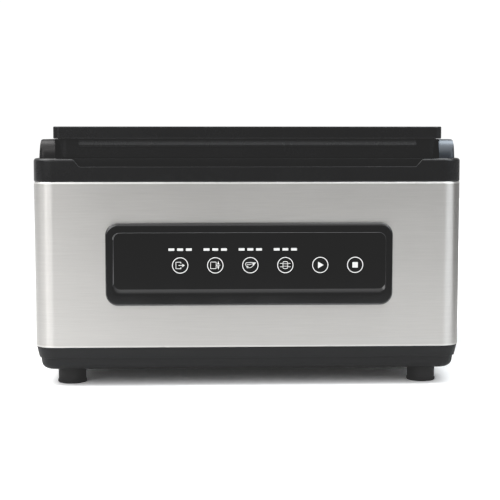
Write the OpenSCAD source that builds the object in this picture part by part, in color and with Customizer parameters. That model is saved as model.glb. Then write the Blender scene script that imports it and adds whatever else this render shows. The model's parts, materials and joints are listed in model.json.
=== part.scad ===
// Tabletop vacuum chamber sealer.
// +Z is up, the control panel faces -Y, +X is on the right of a person who faces the panel.
// The origin is on the floor, under the middle of the machine.

/* [Body] */
// Width of the steel body
body_w = 356; // [350:1:362]
// Depth of the steel body, without what stands proud of it
body_d = 330; // [328:1:340]
// Radius of the body's upright corners
corner_r = 17; // [14:1:20]
// Height of a rubber foot under the base
foot_h = 14; // [13:0.5:17]
// Height of the base pan's visible band
base_h = 19.5; // [17:0.5:20]
// Height of the brushed steel shell
shell_h = 137.5; // [136:0.5:142]
// Height of the top housing, up to the deck
housing_h = 19.5; // [19:0.5:22]

/* [Lid] */
// Width of the lid plate
lid_w = 321; // [320:1:322]
// Thickness of the lid plate
lid_plate_t = 10; // [9:0.5:12]
// Height of the lid's skirt zone, between deck and plate
lid_body_h = 16; // [16:0.5:18]
// Width of the clear window
window_w = 248; // [200:1:250]
// Depth of the clear window, front to back
window_d = 196; // [150:1:200]

/* [Chamber] */
// Width of the chamber inside
chamber_w = 282; // [280:1:284]
// Depth of the chamber inside, front to back
chamber_d = 241; // [236:1:242]
// Height of the chamber inside, below the deck
chamber_h = 74; // [70:1:76]
// Length of the sealing bar's aluminium body
seal_bar_l = 260; // [240:1:260]
// How far the sealing bar lifts
seal_lift = 6; // [4:0.5:6]

/* [Control panel] */
// Width of the control panel's bezel
panel_w = 238; // [236:1:244]
// Height of the control panel's bezel
panel_h = 68.5; // [67:0.5:72]
// Height of the bezel's middle above the floor
panel_z = 103; // [98:0.5:106]
// Distance between the middles of two keys
key_pitch = 29; // [28:0.5:29.5]
// Diameter of a key
key_d = 16; // [14:0.5:17]
// Travel of a key
key_travel = 0.5; // [0.3:0.1:0.5]

/* [Hidden] */
$fn = 96;
gap = 0.3;                                   // clearance between pieces that only meet
run = 0.05;                                  // running clearance of a shaft in its bore
proud = 2.5;                                 // how far the bezel and the inlet stand off the body

base_z = foot_h;
shell_z = base_z + base_h;
housing_z = shell_z + shell_h;
deck_z = housing_z + housing_h;
plate_z = deck_z + lid_body_h;
front_y = -body_d / 2;
rear_y = body_d / 2;

shell_t = 1;
wall_t = 2.5;
housing_t = 4;
pan_band_h = 9.3;                            // the pan's wall has two bands with a small step between
pan_band_draft = 2.1;                        // how far each band leans in, from its top to its bottom
pan_skirt_draft = 1.2;
pan_step = 1.2;
pan_edge = 3;                                // height of the turned-in edge under the walls
pan_edge_draft = 4;
pan_gap = 0.5;                               // the pan's wall stands this far inside the shell's face
foot_x = 149.5;
foot_y = 135;
foot_r = 11.6;
foot_lip = 0.5;                              // how far the foot's sole stands out
foot_lip_h = 2.2;
foot_screw_r = 2;
foot_screw_hole = foot_screw_r + 0.1;

chamber_y = -12.5;
chamber_r = 23;
tub_t = 1;
tub_floor_z = deck_z - chamber_h;
flange_w = chamber_w + 28;
flange_d = chamber_d + 28;
flange_r = 27;

recess_w = 289.2;                            // step along the front of the deck, under the lid's edge
recess_d = 6;
recess_h = 6.8;
recess_lean = 6;                             // how far each end of the step leans
rear_step_y = 126;                           // behind this line the deck is lower, for the hinges
rear_step_h = 3;

rail_in = lid_w / 2 - 1.6;
rail_out = body_w / 2 - 5.2;
rail_h = lid_body_h - 0.4;
rail_lean = 1.5;                             // the outer side leans in by this much
rail_edge = 1.6;                             // its upper edge is rounded by this much
rail_nose = [9, 12];                        // reach and height of the rounded front
rail_front = front_y + 8;
rail_back = rear_y - 8;
rail_r = 5;

hinge_y = 149;
hinge_z = deck_z + 7.5;
hinge_pin_r = 3;
knuckle_r = 6.4;
arm_x = 120;                                 // inner face of a hinge arm
arm_w = 18;
block_x = 140;                               // inner face of a hinge block
spring_x = 105;
spring_l = 14;

lid_front = front_y + 1.5;
lid_back = 136;
lid_r = 6;
skirt_w = 315;
skirt_front = front_y + 7;
skirt_back = 124;
skirt_r = 8;
skirt_gap = 0.6;
groove_w = 280;                              // rounded finger groove in the skirt's front
groove_r = 5;
groove_depth = 1.6;
groove_z = plate_z - 2.8;
lower_y = -11;
lower_h = 6;                                 // solid layer under the plate, above the gasket
window_y = -2;
window_lip = 7.5;                            // how far the window's flange reaches under the frame
gasket_h = lid_body_h - lower_h - 0.3;
gasket_w = 7;
gasket_in_w = 290;
gasket_in_d = 250;
retainer_t = 4;

bar_y = -117;
bar_w = 16;
bar_h = 15;
bar_z = deck_z - 24;
pin_x = 100;
pin_r = 4;
backing_z = bar_z + bar_h + 0.4 + seal_lift + 0.3;
cup_r = 20;
cup_z = 86;
piston_z = 94;
bezel_r = 10.5;
bezel_draft = 3;                             // how far the bezel's border leans in
bezel_edge = 8;                              // the bezel laps over the shell's opening by half of this

panel_x = 0.8;                               // the bezel sits this far right of the middle
overlay_w = panel_w - 12;
overlay_h = 48.5;
overlay_z = panel_z + 1.7;
key_z = panel_z - 0.8;
key_xs = [for (i = [0:5]) (i - 1.95) * key_pitch];
light_z = key_z + 13.1;
light_pitch = 7.2;
light_size = [4.9, 2.1];
board_y = front_y + 5;

pan_floor_z = base_z + 2.5;
suction_x = -60;
suction_y = 86;
valve_x = -96;
valve_y = 100;
valve_z = 62;
transformer_x = 98;
transformer_y = 20;
pump_y = 28;
pump_z = 66;
motor_r = 33;
motor_x = [-84, -6];
fan_x = -78;
fan_z = 92;
fan_s = 60;
fan_t = 15;
fan_y = rear_y - 1.2 - fan_t;
inlet_x = 112;
inlet_z = 66;
rocker_z = 104;
rocker_y = rear_y - 1;
port_x = 60;
port_z = 140;
port_r = 3;

black = "#2b2b2c";
steel = "#b9b7b3";
rubber = "#202021";

// ---------- shared shapes ----------

// Flat rectangle with round corners, centred.
module round_rect(w, d, r) {
    square([w - 2 * r, d], center = true);
    square([w, d - 2 * r], center = true);
    for (x = [-1, 1], y = [-1, 1])
        translate([x * (w / 2 - r), y * (d / 2 - r)]) circle(r);
}

// Upright block with round corners: its bottom is at z, its middle at y.
module slab(w, d, h, r, z = 0, y = 0) {
    translate([0, y, z]) linear_extrude(h) round_rect(w, d, r);
}

// Block with round corners whose sides lean in by inset towards the bottom.
module tapered_slab(w, d, h, r, inset) {
    module leaning(across, along) {
        rotate([90, 0, 0])
            translate([0, 0, -along / 2])
                linear_extrude(along)
                    polygon([
                        [-across / 2 + inset, 0], [across / 2 - inset, 0],
                        [across / 2, h], [-across / 2, h]
                    ]);
    }
    leaning(w, d - 2 * r);
    rotate([0, 0, 90]) leaning(d, w - 2 * r);
    for (x = [-1, 1], y = [-1, 1])
        translate([x * (w / 2 - r), y * (d / 2 - r), 0]) cylinder(r1 = r - inset, r2 = r, h = h);
}

// Cylinder from a to b along X, at y and z.
module x_rod(a, b, r, y, z) {
    translate([a, y, z]) rotate([0, 90, 0]) cylinder(r = r, h = b - a);
}

// Cylinder from a to b along Y, at x and z.
module y_rod(a, b, r, x, z) {
    translate([x, a, z]) rotate([-90, 0, 0]) cylinder(r = r, h = b - a);
}

// Upright slot in the XZ plane, cut along Y: a flat bar with round ends.
module slot_y(w, h, a, b, x, z) {
    translate([x - w / 2 + h / 2, a, z - h / 2]) cube([w - h, b - a, h]);
    for (s = [-1, 1])
        y_rod(a, b, h / 2, x + s * (w - h) / 2, z);
}

// Path through the corner points, each corner rounded by a curve of the given reach.
function rounded(corners, reach) = [
    corners[0],
    for (i = [1:len(corners) - 2])
        let (
            p = corners[i],
            before = corners[i - 1] - p,
            after = corners[i + 1] - p,
            a = p + before / norm(before) * min(reach, norm(before) * 0.45),
            b = p + after / norm(after) * min(reach, norm(after) * 0.45)
        )
            for (t = [0:0.2:1]) (1 - t) * (1 - t) * a + 2 * t * (1 - t) * p + t * t * b,
    corners[len(corners) - 1]
];

function unit(v) = v / norm(v);

// Direction of a path at its point i.
function heading(path, i) =
    unit(path[min(i + 1, len(path) - 1)] - path[max(i - 1, 0)]);

// Round tube along a path: one polyhedron with flat ends. side_v is square to the first run.
module tube(path, r, side_v, sides = 12) {
    count = len(path);
    across = [
        for (
            i = 0, u = unit(side_v);
            i < count;
            i = i + 1, u = i < count ? unit(u - (u * heading(path, i)) * heading(path, i)) : u
        ) u
    ];
    points = [
        for (i = [0:count - 1], s = [0:sides - 1])
            let (a = 360 * s / sides, v = cross(heading(path, i), across[i]))
                path[i] + r * (cos(a) * across[i] + sin(a) * v)
    ];
    walls = [
        for (i = [0:count - 2], s = [0:sides - 1])
            let (n = (s + 1) % sides, a = i * sides, b = (i + 1) * sides)
                each [[a + s, b + n, a + n], [a + s, b + s, b + n]]
    ];
    first = [for (s = [0:sides - 1]) s];
    last = [for (s = [0:sides - 1]) count * sides - 1 - s];
    polyhedron(points, concat(walls, [first, last]));
}

// Hose through corner points.
module hose(corners, r, side_v) {
    tube(rounded(corners, 14), r, side_v);
}

// Wire coil about +Z from the origin.
module coil(radius, wire_r, height, turns) {
    steps = turns * 14;
    path = [
        for (i = [0:steps])
            let (a = 360 * turns * i / steps)
                [radius * cos(a), radius * sin(a), wire_r + (height - 2 * wire_r) * i / steps]
    ];
    tube(path, wire_r, [1, 0, 0], 6);
}

// ---------- base ----------

module base_pan() {
    slot_count = 9;
    slot_pitch = 9;
    slot_w = 3.2;
    slot_l = 48;
    slot_x = 96;
    top_w = body_w - 2 * pan_gap;
    top_d = body_d - 2 * pan_gap;
    top_r = corner_r - pan_gap;
    low_in = pan_band_draft + pan_step;
    edge_in = low_in + pan_skirt_draft;
    color(black)
    difference() {
        union() {
            translate([0, 0, shell_z - pan_band_h])
                tapered_slab(top_w, top_d, pan_band_h, top_r, pan_band_draft);
            translate([0, 0, base_z + pan_edge])
                tapered_slab(top_w - 2 * low_in, top_d - 2 * low_in, base_h - pan_band_h - pan_edge,
                             top_r - low_in, pan_skirt_draft);
            translate([0, 0, base_z])
                tapered_slab(top_w - 2 * edge_in, top_d - 2 * edge_in, pan_edge, top_r - edge_in,
                             pan_edge_draft);
            // rim that locates the shell
            slab(body_w - 2 * shell_t - 2 * gap, body_d - 2 * shell_t - 2 * gap, 7,
                 corner_r - shell_t - gap, shell_z - 2);
        }
        slab(top_w - 2 * edge_in - 2 * wall_t, top_d - 2 * edge_in - 2 * wall_t, base_h + 10,
             top_r - edge_in - wall_t, pan_floor_z);
        for (side = [-1, 1], i = [0:slot_count - 1])
            translate([side * slot_x - slot_l / 2, (i - 2.5) * slot_pitch, base_z - 1])
                cube([slot_l, slot_w, wall_t + 2]);
        for (x = [-1, 1], y = [-1, 1])
            translate([x * foot_x, y * foot_y, base_z - 1]) cylinder(r = foot_screw_hole, h = 20);
    }
}

module foot(x, y) {
    color(rubber)
    translate([x, y, 0])
    difference() {
        union() {
            cylinder(r1 = foot_r + foot_lip - 0.6, r2 = foot_r + foot_lip, h = 0.6);
            translate([0, 0, 0.6]) cylinder(r = foot_r + foot_lip, h = foot_lip_h - 0.6);
            translate([0, 0, foot_lip_h]) cylinder(r1 = foot_r + foot_lip, r2 = foot_r, h = foot_lip);
            cylinder(r = foot_r, h = foot_h);
        }
        translate([0, 0, -1]) cylinder(r = 5.5, h = 6);
        cylinder(r = foot_screw_hole, h = foot_h + 1);
    }
}

module foot_screws() {
    color("silver")
    for (x = [-1, 1], y = [-1, 1])
        translate([x * foot_x, y * foot_y, 0])
        difference() {
            union() {
                translate([0, 0, 2]) cylinder(r = 4, h = 3);
                translate([0, 0, 5]) cylinder(r = foot_screw_r, h = foot_h + 2);
            }
            for (a = [0, 90]) rotate([0, 0, a]) translate([-2.6, -0.45, 1]) cube([5.2, 0.9, 2.4]);
        }
}

// ---------- shell, rear panel ----------

module outer_shell() {
    flange_z = shell_z + 9;
    flange_h = shell_h - 18;
    rear_w = 300;
    color(steel) {
        // joggled edges behind the rear panel
        for (s = [-1, 1])
            difference() {
                union() {
                    translate([s * 142 - 10, rear_y - 2.3, flange_z]) cube([20, shell_t, flange_h]);
                    translate([s * 151 - 1, rear_y - 2.3, flange_z]) cube([2, 1.8, flange_h]);
                }
                for (p = rear_screws) y_rod(rear_y - 3, rear_y, rear_hole_r, p[0], p[1]);
            }
        difference() {
            slab(body_w, body_d, shell_h, corner_r, shell_z);
            slab(body_w - 2 * shell_t, body_d - 2 * shell_t, shell_h + 2, corner_r - shell_t, shell_z - 1);
            // front opening behind the bezel, and rear opening
            translate([panel_x, front_y + 5, panel_z]) rotate([90, 0, 0])
                linear_extrude(10) round_rect(panel_w - bezel_edge, panel_h - bezel_edge, 8);
            translate([-rear_w / 2, rear_y - 5, shell_z - 1]) cube([rear_w, 10, shell_h + 2]);
        }
    }
}

rear_screws = [for (x = [-140, 140], z = [42, 100, 158]) [x, z]];
rear_hole_r = 1.6;

module rear_panel() {
    color("#3a3a3c")
    difference() {
        translate([-149.8, rear_y - 1.2, shell_z + 0.4]) cube([299.6, 1.2, shell_h - 0.8]);
        // fan opening, as slots of a round grille
        for (i = [-4:4])
            slot_y(2 * sqrt(27 * 27 - (i * 6) * (i * 6)), 3.4, rear_y - 2, rear_y + 1, fan_x, fan_z + i * 6);
        for (i = [0:7])
            slot_y(60, 3, rear_y - 2, rear_y + 1, 10, 60 + i * 7);
        translate([inlet_x - 14, rear_y - 3, inlet_z - 10.5]) cube([28, 6, 21]);
        translate([inlet_x - 10, rear_y - 3, rocker_z - 7]) cube([20, 6, 14]);
        y_rod(rear_y - 3, rear_y + 1, 7.1, port_x, port_z);
        for (p = rear_screws) y_rod(rear_y - 3, rear_y + 1, rear_hole_r, p[0], p[1]);
    }
}

module rear_panel_screws() {
    color("silver")
    for (p = rear_screws)
        difference() {
            union() {
                y_rod(rear_y, rear_y + 1.8, 3, p[0], p[1]);
                y_rod(rear_y - 8, rear_y, 1.5, p[0], p[1]);
            }
            for (a = [0, 90])
                translate([p[0], rear_y + 1, p[1]]) rotate([0, a, 0])
                    translate([-2, 0, -0.35]) cube([4, 1, 0.7]);
        }
}

// ---------- top housing, rails, hinge pins ----------

module top_housing() {
    color(black)
    difference() {
        union() {
            slab(body_w, body_d, housing_h, corner_r, housing_z);
            slab(body_w - 2 * shell_t - 2 * gap, body_d - 2 * shell_t - 2 * gap, 5,
                 corner_r - shell_t - gap, housing_z - 4);
        }
        // inside: lower along the front, under the step
        slab(body_w - 2 * housing_t, body_d - recess_d - 2 * housing_t, housing_h - 1, corner_r - housing_t,
             housing_z - 5, recess_d / 2);
        slab(body_w - 2 * housing_t, body_d - 2 * housing_t, housing_h - 6, corner_r - housing_t,
             housing_z - 5);
        // chamber opening and the seat of its flange
        slab(chamber_w + 2 * tub_t + 2 * gap, chamber_d + 2 * tub_t + 2 * gap, 40,
             chamber_r + tub_t + gap, housing_z, chamber_y);
        slab(flange_w + gap, flange_d + gap, 3, flange_r, deck_z - tub_t, chamber_y);
        // step with leaning ends
        translate([0, front_y + recess_d, deck_z])
            rotate([90, 0, 0])
                linear_extrude(recess_d + 2)
                    polygon([
                        [-recess_w / 2 - 1, 1], [-recess_w / 2, 0],
                        [-recess_w / 2 + recess_lean, -recess_h], [recess_w / 2 - recess_lean, -recess_h],
                        [recess_w / 2, 0], [recess_w / 2 + 1, 1]
                    ]);
        // lower deck round the hinges
        translate([-block_x + 1, rear_step_y, deck_z - rear_step_h])
            cube([2 * block_x - 2, rear_y - rear_step_y + 2, 10]);
    }
}

// A rail beside the lid, with the hinge block at its rear. side is 1 on the right.
module side_rail(side) {
    color(black)
    mirror([side > 0 ? 0 : 1, 0, 0])
    difference() {
        intersection() {
            slab(2 * rail_out, rail_back - rail_front, rail_h, rail_r, deck_z, (rail_back + rail_front) / 2);
            // front view: the outer side leans in and turns over into the top
            translate([0, rail_back + 1, deck_z])
                rotate([90, 0, 0])
                    linear_extrude(rail_back - rail_front + 2)
                        polygon([
                            [block_x, -1], [rail_out + 1, -1], [rail_out, 0],
                            for (a = [0:15:90]) [
                                rail_out - rail_lean - rail_edge * (1 - cos(a)),
                                rail_h - rail_edge * (1 - sin(a))
                            ],
                            [block_x, rail_h]
                        ]);
            // side view: a rounded nose at the front
            translate([block_x - 1, 0, deck_z])
                rotate([90, 0, 90])
                    linear_extrude(60)
                        polygon([
                            [rail_front, -1],
                            for (a = [0:7.5:90]) [
                                rail_front + rail_nose[0] * (1 - cos(a)),
                                rail_h - rail_nose[1] * (1 - sin(a))
                            ],
                            [rail_back + 1, rail_h], [rail_back + 1, -1]
                        ]);
        }
        translate([block_x - 1, rail_front - 1, deck_z - 1])
            cube([rail_in - block_x + 1, hinge_y - 12 - rail_front + 1, rail_h + 2]);
        x_rod(block_x - 1, block_x + 14, hinge_pin_r + run, hinge_y, hinge_z);
    }
}

module hinge_pins() {
    color("silver")
    for (side = [0, 1])
        mirror([side, 0, 0]) {
            x_rod(spring_x - 5, block_x + 13, hinge_pin_r, hinge_y, hinge_z);
            x_rod(spring_x - 7, spring_x - 5, hinge_pin_r + 1.6, hinge_y, hinge_z);
        }
}

// ---------- chamber ----------

module chamber_tub() {
    color("#c9c9c7")
    difference() {
        union() {
            slab(chamber_w + 2 * tub_t, chamber_d + 2 * tub_t, chamber_h + tub_t, chamber_r + tub_t,
                 tub_floor_z - tub_t, chamber_y);
            slab(flange_w, flange_d, tub_t, flange_r, deck_z - tub_t, chamber_y);
        }
        slab(chamber_w, chamber_d, chamber_h + 1, chamber_r, tub_floor_z, chamber_y);
        for (x = [-pin_x, pin_x])
            translate([x, bar_y, tub_floor_z - 5]) cylinder(r = 7.2, h = 10);
        translate([suction_x, suction_y, tub_floor_z - 5]) cylinder(r = 5.2, h = 10);
    }
}

module suction_cap() {
    color("#8f9092")
    translate([suction_x, suction_y, tub_floor_z])
    difference() {
        union() {
            cylinder(r = 11, h = 4);
            translate([0, 0, -12]) cylinder(r = 5, h = 13);
        }
        translate([0, 0, -13]) cylinder(r = 3, h = 15);
        for (a = [0:45:315])
            rotate([0, 0, a]) translate([2, -0.8, 1]) cube([12, 1.6, 1.6]);
    }
}

// Air cylinder under the chamber floor that lifts one end of the sealing bar.
module lift_cylinder(side) {
    color("#d8d4c8")
    translate([side * pin_x, bar_y, 0])
    difference() {
        union() {
            translate([0, 0, cup_z]) cylinder(r = cup_r, h = tub_floor_z - tub_t - cup_z);
            translate([0, 0, tub_floor_z - 2]) cylinder(r = 7, h = 4);
            translate([0, 0, cup_z - 9]) cylinder(r = 3, h = 10);
        }
        translate([0, 0, cup_z + 3]) cylinder(r = cup_r - 2, h = tub_floor_z - tub_t - cup_z - 6);
        translate([0, 0, cup_z + 1]) cylinder(r = pin_r + 0.1, h = 60);
        translate([0, 0, cup_z - 10]) cylinder(r = 1.5, h = 15);
    }
}

module bar_springs() {
    spring_z = piston_z + 4.2;
    color("silver")
    for (side = [-1, 1])
        translate([side * pin_x, bar_y, spring_z])
            coil(9, 0.8, tub_floor_z - tub_t - 3.2 - spring_z, 4);
}

// ---------- sealing bar ----------

module seal_bar() {
    color("#b4b6b8")
    difference() {
        translate([-seal_bar_l / 2, bar_y - bar_w / 2, bar_z]) cube([seal_bar_l, bar_w, bar_h]);
        for (s = [-1, 1]) {
            translate([s * pin_x, bar_y, bar_z - 1]) cylinder(r = pin_r + run, h = 9);
            translate([-seal_bar_l / 2 - 1, bar_y + s * (bar_w / 2 - 1) - 1.2, bar_z + 4])
                cube([seal_bar_l + 2, 2.4, 5]);
        }
        translate([-seal_bar_l / 2 - 1, bar_y - 3, bar_z + bar_h - 0.3]) cube([seal_bar_l + 2, 6, 1]);
    }
}

module heating_strip() {
    color("#8a8276")
    translate([-seal_bar_l / 2, bar_y - 2.5, bar_z + bar_h - 0.3]) cube([seal_bar_l, 5, 0.3]);
}

module sealing_tape() {
    color("#a98f63")
    difference() {
        translate([-seal_bar_l / 2 + 1, bar_y - bar_w / 2 - 0.3, bar_z + 10])
            cube([seal_bar_l - 2, bar_w + 0.6, bar_h - 10 + 0.3]);
        translate([-seal_bar_l / 2, bar_y - bar_w / 2, bar_z + 5]) cube([seal_bar_l, bar_w, bar_h - 5]);
    }
}

module bar_end_caps() {
    color(black)
    for (s = [-1, 1])
        translate([s * (seal_bar_l / 2 + 2), bar_y, bar_z + bar_h / 2])
            difference() {
                cube([4, bar_w, bar_h], center = true);
                translate([s * 1.5, 0, 0]) rotate([0, 90, 0]) cylinder(r = 2.5, h = 2, center = true);
            }
}

module lift_pins() {
    color("#c9a45a")
    for (s = [-1, 1])
        translate([s * pin_x, bar_y, 0]) {
            translate([0, 0, piston_z]) cylinder(r = pin_r, h = bar_z + 8 - piston_z);
            translate([0, 0, piston_z]) cylinder(r = cup_r - 2.3, h = 4);
        }
}

// ---------- control panel ----------

module panel_bezel() {
    color(black)
    difference() {
        union() {
            // leaning border, seen from the front
            translate([panel_x, front_y - proud, panel_z]) rotate([-90, 0, 0])
                tapered_slab(panel_w, panel_h, proud, bezel_r, bezel_draft);
            translate([panel_x, board_y, panel_z]) rotate([90, 0, 0])
                linear_extrude(board_y - front_y + 0.5)
                    round_rect(panel_w - bezel_edge - 2 * gap, panel_h - bezel_edge - 2 * gap, 8 - gap);
        }
        // seat of the overlay
        translate([panel_x, front_y - 1, overlay_z]) rotate([90, 0, 0])
            linear_extrude(5) round_rect(overlay_w, overlay_h, 6);
        // hollow back
        translate([panel_x, front_y + 6, panel_z]) rotate([90, 0, 0])
            linear_extrude(5) round_rect(panel_w - 13, panel_h - 13, 6);
        for (x = key_xs) y_rod(front_y - 4, front_y + 4, key_d / 2 + gap, x, key_z);
        for (i = [0:3], j = [-1:1])
            translate([key_xs[i] + j * light_pitch - light_size[0] / 2 - 0.1, front_y - 4,
                       light_z - light_size[1] / 2 - 0.1])
                cube([light_size[0] + 0.2, 8, light_size[1] + 0.2]);
    }
}

module panel_overlay() {
    color("#262627")
    difference() {
        translate([panel_x, front_y - 1, overlay_z]) rotate([90, 0, 0])
            linear_extrude(0.5) round_rect(overlay_w - 0.2, overlay_h - 0.2, 5.9);
        for (x = key_xs) y_rod(front_y - 4, front_y + 4, key_d / 2 + gap, x, key_z);
        for (i = [0:3], j = [-1:1])
            translate([key_xs[i] + j * light_pitch - light_size[0] / 2 - 0.1, front_y - 4,
                       light_z - light_size[1] / 2 - 0.1])
                cube([light_size[0] + 0.2, 8, light_size[1] + 0.2]);
    }
}

module level_lights() {
    color("white")
    for (i = [0:3], j = [-1:1])
        translate([key_xs[i] + j * light_pitch, 0, light_z]) {
            translate([-light_size[0] / 2, front_y - 1.55, -light_size[1] / 2])
                cube([light_size[0], 4, light_size[1]]);
            translate([-1, front_y + 2.4, -0.7]) cube([2, 2.6, 1.4]);
        }
}

module control_board() {
    color("#1f5a35") {
        translate([panel_x - 114, board_y, panel_z - 29]) cube([228, 1.6, 58]);
        // controller and connector on the back of the board
        translate([-20, board_y + 1.6, panel_z - 12]) cube([14, 2, 14]);
        translate([60, board_y + 1.6, panel_z - 22]) cube([22, 8, 8]);
    }
}

module key_switches() {
    color("#3c3c3e")
    for (x = key_xs) {
        translate([x - 3, board_y - 2.4, key_z - 3]) cube([6, 2.4, 6]);
        y_rod(board_y - 3.2, board_y - 2.4, 1.7, x, key_z);
    }
}

module key(i) {
    color("#262627") {
        y_rod(front_y - 1.55, front_y, key_d / 2, key_xs[i], key_z);
        y_rod(front_y, board_y - 3.2 - key_travel - 0.1, 2, key_xs[i], key_z);
    }
}

// ---------- lid ----------

lid_d = lid_back - lid_front;
lid_y = (lid_back + lid_front) / 2;
lower_z = plate_z - lower_h;
retainer_z = lower_z - retainer_t;
lid_screw_spots = concat(
    [for (s = [-1, 1], y = [-105, -35, 35, 100]) [s * 138.3, y]],
    [for (x = [-70, 70], y = [-131, 107.5]) [x, y]]
);

module lid_frame() {
    skirt_d = skirt_back - skirt_front;
    skirt_y = (skirt_back + skirt_front) / 2;
    color(black)
    difference() {
        union() {
            slab(lid_w, lid_d, lid_plate_t, lid_r, plate_z, lid_y);
            difference() {
                slab(skirt_w, skirt_d, lid_body_h - skirt_gap + 1, skirt_r, deck_z + skirt_gap, skirt_y);
                // room for the gasket and what it encloses
                slab(gasket_in_w + 2 * gasket_w + 1, gasket_in_d + 2 * gasket_w + 1, lower_z - deck_z,
                     17.5 + gasket_w, deck_z, lower_y);
                x_rod(-groove_w / 2, groove_w / 2, groove_r, skirt_front - groove_r + groove_depth, groove_z);
            }
        }
        slab(window_w + gap, window_d + gap, 40, 14, lower_z - 1, window_y);
        slab(window_w + 2 * window_lip + gap, window_d + 2 * window_lip + gap, lower_h + 3.6, 18,
             lower_z - 1, window_y);
        for (p = lid_screw_spots)
            translate([p[0], p[1], lower_z - 1]) cylinder(r = 1.55, h = 6);
    }
}

module lid_window() {
    color("#55585a", 0.45) {
        slab(window_w - gap, window_d - gap, lid_plate_t - 0.4 - 2.5, 13.8, plate_z + 2.5, window_y);
        slab(window_w + 2 * window_lip - gap, window_d + 2 * window_lip - gap, lower_h + 2.5, 17.8,
             lower_z, window_y);
    }
}

module lid_retainer() {
    color(black)
    difference() {
        slab(gasket_in_w - 0.4, gasket_in_d - 0.4, retainer_t, 16.8, retainer_z, lower_y);
        slab(window_w + 2, window_d + 2, 10, 14, retainer_z - 1, window_y);
        for (p = lid_screw_spots)
            translate([p[0], p[1], retainer_z - 1]) cylinder(r = 1.55, h = 10);
    }
}

module lid_gasket() {
    color(rubber)
    difference() {
        slab(gasket_in_w + 2 * gasket_w, gasket_in_d + 2 * gasket_w, gasket_h, 17 + gasket_w,
             lower_z - gasket_h, lower_y);
        slab(gasket_in_w, gasket_in_d, 20, 17, lower_z - 15, lower_y);
    }
}

module backing_holder() {
    color("#a9abad")
    difference() {
        translate([-132, bar_y - 8, backing_z + 3.3])
            cube([264, 16, retainer_z - backing_z - 3.3]);
        translate([-133, bar_y - 5, backing_z + 3]) cube([266, 10, 1.8]);
    }
}

module backing_strip() {
    color("#a8402f")
    translate([-131, bar_y - 4.9, backing_z]) cube([262, 9.8, 4.7]);
}

module lid_screws() {
    color("silver")
    for (p = lid_screw_spots)
        translate([p[0], p[1], 0])
        difference() {
            union() {
                translate([0, 0, retainer_z - 1.8]) cylinder(r = 2.8, h = 1.8);
                translate([0, 0, retainer_z]) cylinder(r = 1.5, h = retainer_t + 4);
            }
            for (a = [0, 90])
                rotate([0, 0, a]) translate([-1.8, -0.35, retainer_z - 2.8]) cube([3.6, 0.7, 1.9]);
        }
}

module hinge_arm(side) {
    color("#35363a")
    mirror([side > 0 ? 0 : 1, 0, 0])
    difference() {
        union() {
            // web from the plate's underside to the knuckle
            translate([arm_x, 0, 0]) rotate([90, 0, 90]) linear_extrude(arm_w)
                polygon([
                    [skirt_back, plate_z], [lid_back, plate_z],
                    [hinge_y + 3, hinge_z + knuckle_r - 0.9], [hinge_y - 2, hinge_z - knuckle_r + 0.35],
                    [skirt_back, plate_z - 5]
                ]);
            x_rod(arm_x, arm_x + arm_w, knuckle_r, hinge_y, hinge_z);
        }
        x_rod(arm_x - 1, arm_x + arm_w + 1, hinge_pin_r + run, hinge_y, hinge_z);
    }
}

module lid_springs() {
    color("silver")
    for (x = [-spring_x - spring_l, spring_x])
        translate([x, hinge_y, hinge_z]) rotate([0, 90, 0]) coil(4.6, 0.9, spring_l, 6);
}

// ---------- pump, valves, hoses ----------

head_xs = [motor_x[0] - 20, motor_x[1] + 20];

module pump_motor() {
    color("#6d6f73")
    difference() {
        union() {
            x_rod(motor_x[0], motor_x[1], motor_r, pump_y, pump_z);
            for (x = [motor_x[0] + 6, motor_x[1] - 12])
                translate([x, pump_y - 30, pump_z - motor_r - 5]) cube([6, 60, 14]);
        }
        x_rod(motor_x[0] - 1, motor_x[1] + 1, 4.1, pump_y, pump_z);
        for (a = [0:30:330])
            translate([0, pump_y, pump_z]) rotate([a, 0, 0])
                translate([motor_x[0] + 16, -1.5, motor_r - 4]) cube([46, 3, 6]);
    }
}

module pump_heads() {
    color("#9a9da1")
    for (x = head_xs)
        difference() {
            union() {
                translate([x - 20, pump_y - 30, pump_z - 30]) cube([40, 60, 54]);
                translate([x, pump_y, pump_z + 20]) cylinder(r = 19, h = 12);
                translate([x - 19, pump_y - 25, pump_z + 32]) cube([38, 50, 8]);
            }
            x_rod(x - 30, x + 30, 9.2, pump_y, pump_z);
            x_rod(x - 16, x + 16, 22, pump_y, pump_z);
            translate([x, pump_y, pump_z + 10]) cylinder(r = 16, h = 20);
        }
}

module pump_rotor() {
    color("#8c8e92") {
        x_rod(head_xs[0] - 22, head_xs[1] + 32, 4, pump_y, pump_z);
        // eccentric cranks, half a turn apart
        for (i = [0, 1])
            x_rod(head_xs[i] - 6, head_xs[i] + 6, 10, pump_y, pump_z + (i == 0 ? 3 : -3));
        // cooling impeller at the right-hand end
        x_rod(head_xs[1] + 21, head_xs[1] + 31, 9, pump_y, pump_z);
        for (a = [0:45:315])
            translate([head_xs[1] + 22, pump_y, pump_z]) rotate([a, 0, 0])
                translate([0, -0.8, 8]) cube([8, 1.6, 17]);
    }
}

plate_under = pump_z - motor_r - 7;

module pump_plate() {
    color("#a3a5a8")
    translate([head_xs[0] - 22, pump_y - 38, plate_under]) cube([head_xs[1] - head_xs[0] + 44, 76, 2]);
}

module pump_dampers() {
    color(rubber)
    for (x = [head_xs[0] - 12, head_xs[1] + 12], y = [-30, 30])
        translate([x, pump_y + y, pan_floor_z]) cylinder(r = 7, h = plate_under - pan_floor_z);
}

module valve_block() {
    color("#c4c6c8")
    translate([valve_x, valve_y, valve_z]) {
        cube([60, 22, 20]);
        translate([0, 20, pan_floor_z - valve_z]) cube([60, 2, valve_z - pan_floor_z + 2]);
        for (x = [14, 44]) {
            translate([x, 11, 19]) cylinder(r = 9, h = 23);
            translate([x - 11, 0, 24]) cube([22, 22, 14]);
        }
    }
}

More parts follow.
